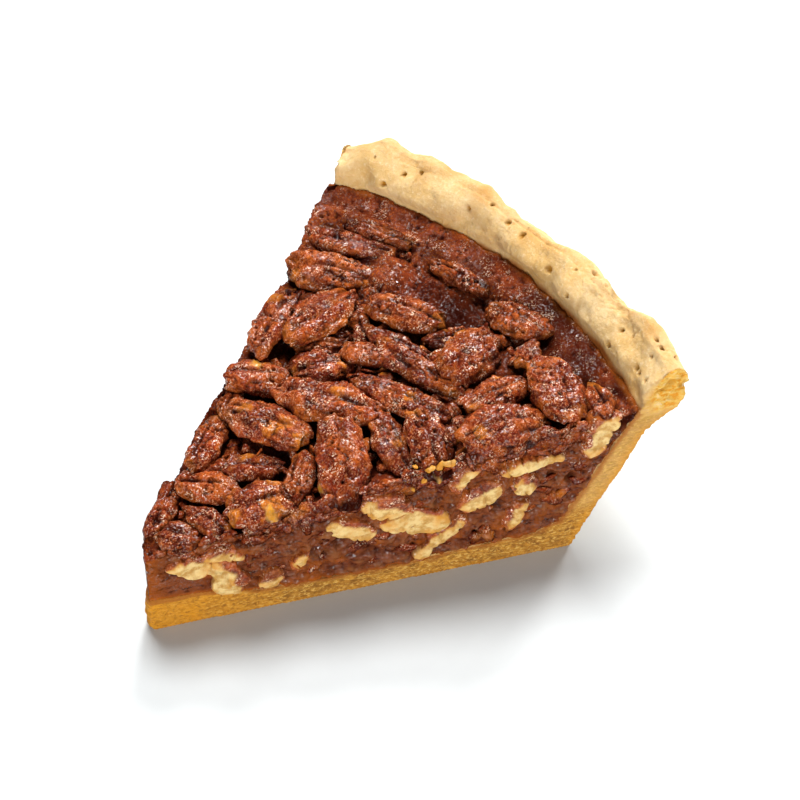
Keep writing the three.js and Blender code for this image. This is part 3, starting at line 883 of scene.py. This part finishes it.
def filling_form():
    """The filling between the crust and its own top, as two sheets of a fan joined at their edges."""
    rows, columns = 70, 40
    share = np.linspace(0, 1, rows + 1)[:, None, None]
    side = np.linspace(0, 1, columns + 1)[None, :, None]
    start = side * BLUNT_TIP + 0.5 * side * (1 - side) * np.array([-0.8, 0.6])
    angle = (2 * side[..., 0] - 1) * HALF_ANGLE
    end = (FILLING_RADIUS + 0.5) * np.stack([np.cos(angle), np.sin(angle)], axis=-1)
    flat = start + (end - start) * share
    along = (flat - BLUNT_TIP) @ BACK_CUT
    bulge = np.interp(along, BULGE_ALONG, BULGE_OUT) * step(0.8, 1.0, side[..., 0])
    flat = flat + bulge[..., None] * BACK_OUT[:2]
    radius = np.minimum(np.hypot(flat[..., 0], flat[..., 1]), FILLING_RADIUS + 0.4)
    low = np.interp(radius, WALL_RADII, WALL_HEIGHTS) - 0.2
    high = np.maximum(filling_top(radius), low + 0.05)
    sheets = [np.dstack([flat, level[..., None]]).reshape(-1, 3) for level in (low, high)]
    count = (rows + 1) * (columns + 1)

    def at(i, j):
        return i * (columns + 1) + j

    faces = []
    for i in range(rows):
        for j in range(columns):
            ring = (at(i, j), at(i + 1, j), at(i + 1, j + 1), at(i, j + 1))
            faces.append(tuple(reversed(ring)))
            faces.append(tuple(count + k for k in ring))
    outline = [at(i, 0) for i in range(rows)] + [at(rows, j) for j in range(columns)]
    outline += [at(i, columns) for i in range(rows, 0, -1)] + [at(0, j) for j in range(columns, 0, -1)]
    for a, b in zip(outline, outline[1:] + outline[:1]):
        faces.append((a, b, count + b, count + a))
    return Form(np.vstack(sheets), faces)


def filling_cut(points):
    """From 0 inside the filling to 1 on its two cuts."""
    front, back = beside_front(points), beside_back(points)
    return np.maximum(step(-0.6, -0.15, front), step(-0.6, -0.15, back))


def filling_upper(points, normals):
    """From 0 to 1 on the filling's top."""
    radius, height = radius_and_height(points)
    return step(0.45, 0.75, normals[:, 2]) * step(-1.2, -0.4, height - filling_top(radius))


def top_zones(points, normals, nuts):
    """From 0 to 1: what lies where on the filling's top."""
    radius, height = radius_and_height(points)
    cut = filling_cut(points)
    top = filling_upper(points, normals) * (1 - cut)
    gaps = np.clip(np.sort([nut.gap(points) for nut in nuts], axis=0), 0, 9)
    around = np.stack([np.arctan2(points[:, 1], points[:, 0]) * 30, radius, height], axis=1)
    slab = step(12, 20, points[:, 1]) * step(62, 70, points[:, 0] + 0.25 * points[:, 1])
    return SimpleNamespace(
        radius=radius, height=height, cut=cut, top=top,
        crowded=step(6, 20, radius) * np.exp(-((gaps[0] + gaps[1]) / 3.4) ** 2),
        beside=np.exp(-gaps[0] / 1.1),
        pool=np.exp(-((points[:, 0] - 88) / 5.0) ** 2 - ((points[:, 1] - 0.5) / 7) ** 2),
        wrinkles=ridges(noise(around, 2.2, 105)),
        slab=slab * (1 - step(96, 100, radius)),
        band=step(93, 97, radius),
        bubbles=np.maximum(pits(points, 2.4, 0.5, 0.75, 111), pits(points, 1.5, 0.35, 0.5, 112)),
        sunk=step(0.15, 0.6, rough(points, 7.0, 104)) * (1 - cut) * top)


def top_relief(points, zone):
    """Between two nuts that lie close the filling has sunk, and beside one nut it climbs a little."""
    froth, _ = scatter(points, 1.1, 101)
    relief = 0.5 * zone.beside * (1 - zone.crowded) - 2.4 * zone.crowded + 1.9 * zone.slab
    relief += 0.45 * noise(points, 5.0, 102) + 0.25 * noise(points, 2.2, 103)
    relief += (0.34 + 0.4 * zone.slab) * (0.5 - froth) + (0.2 + 0.6 * zone.slab) * zone.wrinkles
    relief -= 0.9 * zone.bubbles * (1 - 0.5 * zone.band) + 1.6 * zone.pool
    relief += (0.5 + 1.1 * noise(points, 4.0, 140)) * step(102.8, 105, zone.radius)
    return zone.top * relief - 0.9 * zone.sunk * (1 - zone.slab) * (1 - zone.band)


def cut_zones(points, zone):
    """What the knife left on the two cuts: pulled, torn jelly with wells, and calm at the tip."""
    below = zone.height - filling_top(zone.radius)
    under = step(-6.0, -1.5, below) * step(14, 24, zone.radius)
    torn, _ = scatter(points, 1.2, 131)
    clumps, _ = scatter(points, 2.4, 132)
    ribs = ridges(noise(points * [0.7, 0.7, 1.1], 1.7, 135))
    relief = 0.8 * rough(points * [0.7, 0.7, 1.1], 4.0, 122) - 0.2 + 0.9 * (0.5 - clumps)
    relief += 0.55 * (0.5 - torn) + 0.35 * ribs - under * (1.5 + 1.6 * noise(points, 3.0, 133))
    wells = pits(points + noise(points, 2.0, 138)[:, None], 6.0, 0.5, 2.0, 121)
    return SimpleNamespace(
        under=under, torn=torn, relief=relief,
        calm=1 - 0.85 * (1 - step(13, 22, zone.radius)) * (1 - step(17, 20, zone.height)),
        wells=wells * step(20, 30, zone.radius))


def near_cut_nuts(points, nuts):
    """From 0 to 1 close around the nuts that the knife went through."""
    near = np.zeros(len(points))
    for nut in nuts:
        level = np.abs(nut.own(points)[:, 2]) < 3
        near = np.maximum(near, np.exp(-np.clip(nut.gap(points), 0, 9) / 0.9) * level)
    return near


def paint_filling(form, zone, face, near):
    points, radius, top, band = form.points, zone.radius, zone.top, zone.band
    patches = noise(points, 2.4, 136)
    over_floor = zone.height - np.interp(radius, WALL_RADII, WALL_HEIGHTS)
    warmth = 0.5 * (1 - step(0, 5, radius)) + 0.5 * near * step(-0.1, 0.5, patches)
    warmth += 0.4 * step(0.35, 0.75, noise(points, 4.0, 124)) + 0.6 * (1 - step(0.2, 1.2, over_floor))
    caramel = 0.25 * top * step(103.9, 105.1, radius + 0.7 * noise(points, 4.0, 137))
    deep = 0.5 + 0.4 * step(25, -10, points[:, 1])
    # Painted shade on the top: darker between close nuts, in sunk places, bubbles, the pool and the slab's
    # wrinkle lows.
    top_shade = 0.9 * zone.crowded + 0.6 * zone.sunk + 0.8 * zone.bubbles + 0.95 * zone.pool
    top_shade += 0.6 * zone.slab * step(0.1, 0.9, -zone.wrinkles)
    # Painted shade on the cuts: darker in the wells, beside the cut nuts, as a painted shadow under the
    # top nuts, and in low and torn places.
    cut_shade = 0.8 * face.wells + 0.6 * near * step(0.1, -0.5, patches)
    cut_shade += face.under * (0.5 + 0.5 * step(-0.7, 0.2, noise(points, 2.6, 134)))
    cut_shade += face.calm * (0.85 * step(-0.2, -1.3, face.relief) + 0.5 * step(0.55, 0.95, face.torn))
    form.paint = {
        "cut": zone.cut,
        "foam": top * np.clip(0.65 * zone.slab + 0.5 * zone.beside + 0.45 * band, 0, 1),
        "band": deep * band * top * step(-0.6, 0.3, noise(points, 6.0, 139)),
        "hollow_shade": np.clip(top * top_shade + zone.cut * cut_shade, 0, 1),
        "warm": np.clip(warmth, 0, 1) * zone.cut + caramel * (1 - zone.cut),
        "wet": np.clip(1 - 0.4 * top * band + 0.3 * zone.pool, 0, 1),
        # Painted highlight: the raised jelly on the cuts is painted lighter.
        "high": zone.cut * face.calm * step(0.0, 0.8, face.relief)}


def filling(nuts, cut_nuts):
    form = filling_form().remeshed(FILLING_VOXEL)
    form.smooth(1)
    seen = np.maximum(filling_cut(form.points), filling_upper(form.points, form.normals())) > 0.02
    form = form.thinned(~seen)
    normals = form.normals()
    zone = top_zones(form.points, normals, nuts)
    face = cut_zones(form.points, zone)
    paint_filling(form, zone, face, near_cut_nuts(form.points, cut_nuts))
    relief = top_relief(form.points, zone) + zone.cut * (face.calm * face.relief - 1.6 * face.wells)
    form.points = form.points + normals * relief[:, None]
    return form


# -------- the bits

LUMP_COLUMNS = 14
LUMP_ROWS = 9
FULL_TURN = 6.3


def lump(random, size):
    """A broken bit of nut, as the points of a small uneven ball with these half sizes."""
    points = [[0, 0, -1]]
    for i in range(1, LUMP_ROWS):
        tilt = math.pi * i / LUMP_ROWS
        wide, height = math.sin(tilt), -math.cos(tilt)
        for j in range(LUMP_COLUMNS):
            turn = 2 * math.pi * j / LUMP_COLUMNS
            points.append([wide * math.cos(turn), wide * math.sin(turn), height])
    points = np.array(points + [[0, 0, 1]])
    offset = random.uniform(0, 90, 3)
    swell = 0.55 * noise(points + offset, 0.9, 7) + 0.25 * noise(points + offset, 0.45, 8)
    spin = Quaternion(random.normal(size=3), random.uniform(0, FULL_TURN)).to_matrix()
    return points * (1 + swell[:, None]) * size @ np.array(spin)


def lump_faces():
    """The faces of a lump: rings of four-sided ones, closed by three-sided ones."""
    last = 1 + (LUMP_ROWS - 1) * LUMP_COLUMNS
    faces = []
    for j in range(LUMP_COLUMNS):
        k = (j + 1) % LUMP_COLUMNS
        faces.append((0, 1 + k, 1 + j))
        for a in range(1, last - LUMP_COLUMNS, LUMP_COLUMNS):
            faces.append((a + j, a + k, a + LUMP_COLUMNS + k, a + LUMP_COLUMNS + j))
        faces.append((last - LUMP_COLUMNS + j, last - LUMP_COLUMNS + k, last))
    return faces


def joined(lumps):
    """One form of many separate lumps."""
    faces = lump_faces()
    starts = np.cumsum([0] + [len(points) for points in lumps[:-1]]).tolist()
    return Form(np.vstack(lumps), [tuple(start + k for k in face) for start in starts for face in faces])


def gap_bits(random, nuts):
    """Broken bits half sunk in the gaps between the nuts."""
    lumps = []
    while len(lumps) < GAP_BITS:
        radius = FILLING_RADIUS * math.sqrt(random.uniform(0.01, 0.8))
        angle = random.uniform(-HALF_ANGLE, HALF_ANGLE) * 0.94
        spot = np.array([[radius * math.cos(angle), radius * math.sin(angle), filling_top(radius)]])
        nearest, second = sorted(float(np.hypot(*nut.local(spot)[0, :2])) for nut in nuts)[:2]
        outside = max(float(beside_front(spot)[0]), float(beside_back(spot)[0]))
        if nearest < 0.85 or second > 1.55 or outside > -1.5:
            continue
        points = lump(random, random.uniform((1.2, 0.8, 0.5), (3.2, 1.9, 1.1)))
        spot[0, 2] += random.uniform(-1.4, 0.2)
        lumps.append(points + spot)
    return lumps


def face_bits(random, nuts):
    """Bits that the knife bared in the front cut, and more along its upper edge."""
    lumps = []
    while len(lumps) < FACE_BITS + EDGE_BITS:
        edge = len(lumps) >= FACE_BITS
        along = random.uniform(3 if edge else 16, 99)
        top = filling_top(along)
        floor = float(np.interp(along, WALL_RADII, WALL_HEIGHTS))
        height = top - random.uniform(-0.6, 4.2) if edge else random.uniform(floor + 2.5, top - 1.5)
        spot = np.array([[*(along * FRONT_CUT), height]])
        if min(float(np.hypot(*nut.local(spot)[0, :2])) for nut in nuts) < 1.15:
            continue
        points = lump(random, random.uniform((1.2, 0.8, 0.8), (3.4, 2.0, 2.0)))
        points -= 0.55 * (points @ FRONT_OUT)[:, None] * FRONT_OUT
        lumps.append(points + spot - random.uniform(0.4, 1.1) * FRONT_OUT)
    return lumps


def bits(lumps):
    """The glazed bits, as one piece."""
    form = joined(lumps)
    normals = form.normals()
    form.points += normals * (0.2 * noise(form.points, 0.8, 141))[:, None]
    # Painted shade: the bits are darker where they face down.
    form.paint["hollow_shade"] = np.clip(0.5 - normals[:, 2], 0, 0.9)
    form.paint["warm"] = 0.8 * step(0.4, 0.8, noise(form.points, 5.0, 142))
    form.paint["flesh"] = form.paint["gold"] = np.zeros(len(form.points))
    form.paint["tone"] = 0.5 + 0.5 * noise(form.points, 5.0, 143)
    return form


def pale_crumbs(random):
    """Crumbs of nut flesh that the knife left along the front edge."""
    lumps = []
    for along, out, height in PALE_CRUMBS:
        points = lump(random, random.uniform((0.5, 0.4, 0.4), (1.1, 0.8, 0.6)))
        lumps.append(points + [*(along * FRONT_CUT + out * FRONT_OUT[:2]), height])
        lump(random, 1)  # for its random draws alone
    form = joined(lumps)
    count = len(form.points)
    form.paint["flesh"] = np.ones(count)
    form.paint["gold"] = step(-0.4, 0.2, noise(form.points, 2.5, 151))
    for label in ("hollow_shade", "warm", "tone"):
        form.paint[label] = np.zeros(count)
    return form


# -------- the scene

BITS_SEED = 5
GLAZED_SEED = 1000
CUT_SEED = 5000
SEED_STEP = 40  # from one nut's first noise seed to the next nut's
NUT_FINISH = glazed_nut()
CUT_FINISH = cut_nut()

top_nuts = fine_nuts("pecan_top", NUT_VOXEL, (0, 0, 1))
front_nuts = fine_nuts("pecan_front", CUT_NUT_VOXEL, FRONT_OUT)
back_nuts = fine_nuts("pecan_back", CUT_NUT_VOXEL, BACK_OUT)

placed(crust(), "pie_crust", pastry(), ["pastry_shell"])
filled = filling(top_nuts, front_nuts + back_nuts)
placed(filled, "pie_filling", syrup(), ["syrup_filling"])
random = np.random.default_rng(BITS_SEED)
loose = gap_bits(random, top_nuts) + face_bits(random, front_nuts)
placed(bits(loose), "pecan_bits", NUT_FINISH)
placed(pale_crumbs(random), "pecan_crumbs", CUT_FINISH)
for i, nut in enumerate(top_nuts):
    glazed_surface(nut, GLAZED_SEED + SEED_STEP * i)
    placed(nut.form, nut.node.replace("pecan", "glazed_pecan"), NUT_FINISH, [nut.node])
for i, nut in enumerate(front_nuts + back_nuts):
    cut_surface(nut, CUT_SEED + SEED_STEP * i)
    placed(nut.form, nut.node.replace("pecan", "cut_pecan"), CUT_FINISH, [nut.node])

# -------- floor, light and camera

CAMERA_AT = Vector((-0.17525, -0.18790, 0.31033))
LOOKS_AT = Vector((0.01492, 0.00161, 0.02))
CAMERA_ROLL = math.radians(3)
CAMERA_LENS = 78.86
SENSOR_WIDTH = 36.0
CLIP_START = 0.01
FLOOR_REACH = 3.0
# Each sun's direction, its strength, and how many degrees its shadows blur by.
SUNS = {
    "key": ((0.22, 0.27, 0.94), 4.2, 24),
    "fill": ((-0.80, -0.42, 0.22), 2.2, 22),
    "sparkle_high": ((0.5, 0.42, 0.76), 1.6, 9),
    "sparkle_low": ((0.84, 0.24, 0.46), 2.3, 16),
    "sparkle_front": ((-0.20, -0.96, 0.17), 1.6, 8)}
WORLD_STRENGTH = 0.15


def floor():
    mesh = bpy.data.meshes.new("floor")
    corners = [(x * FLOOR_REACH, y * FLOOR_REACH, 0) for x, y in ((-1, -1), (1, -1), (1, 1), (-1, 1))]
    mesh.from_pydata(corners, [], [(0, 1, 2, 3)])
    mesh.materials.append(tabletop())
    made = added("floor", mesh)


def sun(name, towards, strength, softness):
    light = bpy.data.lights.new(name, "SUN")
    light.energy = strength
    light.angle = math.radians(softness)
    made = added(name, light)
    made.rotation_mode = "QUATERNION"
    made.rotation_quaternion = Vector(towards).to_track_quat("Z", "Y")


def studio():
    for name, values in SUNS.items():
        sun(name, *values)
    world = bpy.data.worlds.new("studio")
    world.use_nodes = True
    sky = world.node_tree.nodes["Background"].inputs
    sky["Color"].default_value = (1, 1, 1, 1)
    sky["Strength"].default_value = WORLD_STRENGTH
    bpy.context.scene.world = world
    bpy.context.scene.view_settings.view_transform = "Standard"


def camera():
    lens = bpy.data.cameras.new("camera")
    lens.lens = CAMERA_LENS
    lens.sensor_width = SENSOR_WIDTH
    lens.clip_start = CLIP_START
    made = added("camera", lens)
    made.location = CAMERA_AT
    made.rotation_mode = "QUATERNION"
    aim = (LOOKS_AT - CAMERA_AT).to_track_quat("-Z", "Y")
    made.rotation_quaternion = aim @ Quaternion((0, 0, 1), CAMERA_ROLL)
    bpy.context.scene.camera = made


floor()
studio()
camera()
